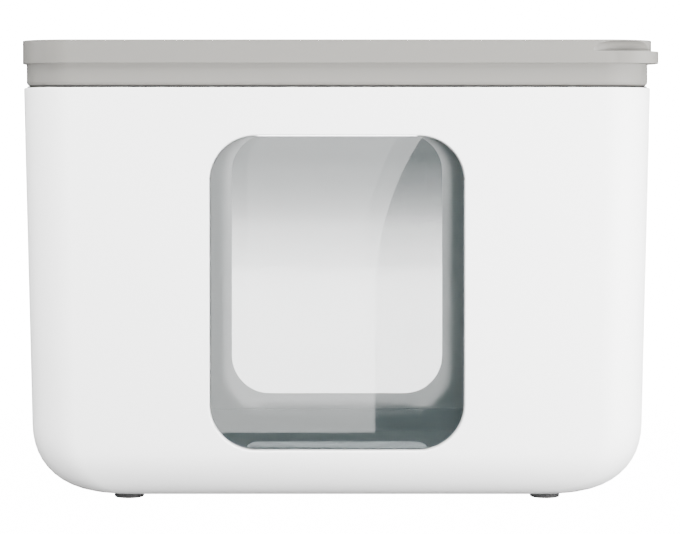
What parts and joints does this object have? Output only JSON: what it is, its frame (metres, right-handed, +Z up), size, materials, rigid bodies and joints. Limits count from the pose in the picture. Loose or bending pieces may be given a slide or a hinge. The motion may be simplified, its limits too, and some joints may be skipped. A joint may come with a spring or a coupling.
{
  "type": "cat litter box with hood",
  "caption": "Rounded, tapered litter box with a smoked swinging flap in front, a glazed window behind, a sealed hood collar and a hinged lid with a corner finger tab.",
  "frame": {"origin": "middle of the overall footprint, on the surface the feet stand on", "axes": "+X to the right as seen from the front, +Y to the back (the flap faces -Y), +Z up"},
  "size_m": [0.506, 0.4014, 0.3675],
  "materials": {
    "tub_white": "fine satin moulding",
    "hood_grey": "fine satin moulding",
    "pan_grey": "satin moulding",
    "smoked_clear": "smoked clear plastic, glossy",
    "clear_seal": "translucent silicone",
    "dark_seal": "matt rubber",
    "foot_rubber": "matt rubber",
    "steel": "plain",
    "nylon": "natural nylon",
    "magnet": "plain",
    "bar_grey": "frosted",
    "inner_grey": "satin moulding",
    "carbon_foam": "open-cell foam"
  },
  "bodies": {
    "box": {"tub": "tub_white", "collar_seal": "dark_seal", "hood_collar": "hood_grey", "collar_screws": "steel", "litter_pan": "pan_grey", "rear_window_pane": "smoked_clear", "rear_window_seal": "clear_seal", "door_frame": "tub_white", "door_frame_screws": "steel", "flap_bush_left": "nylon", "flap_bush_right": "nylon", "sill_magnet": "magnet", "lid_hinge_pin_left": "steel", "lid_hinge_pin_right": "steel", "foot_front_left": "foot_rubber", "foot_front_right": "foot_rubber", "foot_rear_left": "foot_rubber", "foot_rear_right": "foot_rubber"},
    "flap": {"flap_pane": "smoked_clear", "flap_magnet_bar": "bar_grey"},
    "lid": {"lid": "hood_grey", "lid_seal": "dark_seal", "filter_tray": "inner_grey", "filter_tray_screws": "steel", "carbon_filter": "carbon_foam"},
    "filter_door": {"filter_cover": "inner_grey"}
  },
  "joints": [
    {"name": "lid_hinge", "type": "hinge", "parent": "box", "child": "lid", "pos_m": [-0.002, 0.19525, 0.34925], "axis": [-1, 0, 0], "range_deg": [0, 105]},
    {"name": "flap_swing", "type": "hinge", "parent": "box", "child": "flap", "pos_m": [-0.002, -0.19275, 0.2582], "axis": [1, 0, 0], "range_deg": [-80, 80]},
    {"name": "filter_cover_hinge", "type": "hinge", "parent": "lid", "child": "filter_door", "pos_m": [-0.002, 0.05725, 0.35475], "axis": [1, 0, 0], "range_deg": [0, 80]}
  ]
}
